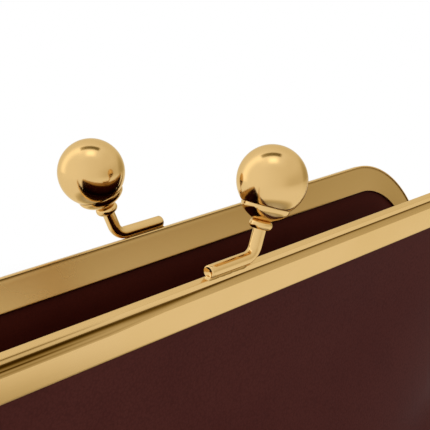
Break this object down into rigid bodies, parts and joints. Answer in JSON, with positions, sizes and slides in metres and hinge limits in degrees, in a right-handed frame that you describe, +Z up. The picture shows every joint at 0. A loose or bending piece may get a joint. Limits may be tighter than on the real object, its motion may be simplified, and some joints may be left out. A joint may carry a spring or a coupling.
{
  "type": "kiss lock frame purse",
  "caption": "Leather frame purse with two hinged U-shaped metal channels, a ball kiss lock, a lined bag and a flat base, shown part open.",
  "frame": {"origin": "middle of the flat base, on the surface that the purse stands on", "axes": "+X along the frame, +Y from the front panel to the rear panel, +Z up"},
  "size_m": [0.2342, 0.0542, 0.1539],
  "materials": {
    "gold_metal": "polished light gold plate over brass",
    "outer_leather": "smooth burgundy leather, satin",
    "lining_leather": "thin dark burgundy lining, matte",
    "paper_cord": "twisted paper cord, hidden in the channel",
    "board": "grey-brown stiffener board, hidden"
  },
  "bodies": {
    "pouch": {"front_wall": "outer_leather", "rear_wall": "outer_leather", "left_gusset": "outer_leather", "right_gusset": "outer_leather", "base_leather": "outer_leather", "base_board": "board", "pouch_lining": "lining_leather", "front_fold": "outer_leather", "rear_fold": "outer_leather"},
    "front_frame": {"front_frame": "gold_metal", "front_stem": "gold_metal", "front_stem_braze": "gold_metal", "front_collar": "gold_metal", "front_cup": "gold_metal", "front_ball": "gold_metal", "front_tuck_cord": "paper_cord", "front_panel": "outer_leather", "front_lining": "lining_leather"},
    "rear_frame": {"rear_frame": "gold_metal", "rear_stem": "gold_metal", "rear_stem_braze": "gold_metal", "rear_collar": "gold_metal", "rear_cup": "gold_metal", "rear_ball": "gold_metal", "rear_tuck_cord": "paper_cord", "rear_panel": "outer_leather", "rear_lining": "lining_leather", "left_rivet": "gold_metal", "right_rivet": "gold_metal"}
  },
  "joints": [
    {"name": "front_frame_open", "type": "hinge", "parent": "pouch", "child": "front_frame", "pos_m": [0, 0, 0.062], "axis": [1, 0, 0], "range_deg": [-13.5, 21.5], "deforming": ["front_fold"]},
    {"name": "rear_frame_open", "type": "hinge", "parent": "pouch", "child": "rear_frame", "pos_m": [0, 0, 0.062], "axis": [1, 0, 0], "range_deg": [-21.5, 13.5], "deforming": ["rear_fold"]}
  ],
  "couplings": [
    {"joint": "rear_frame_open", "follows": "front_frame_open", "ratio": -1}
  ]
}
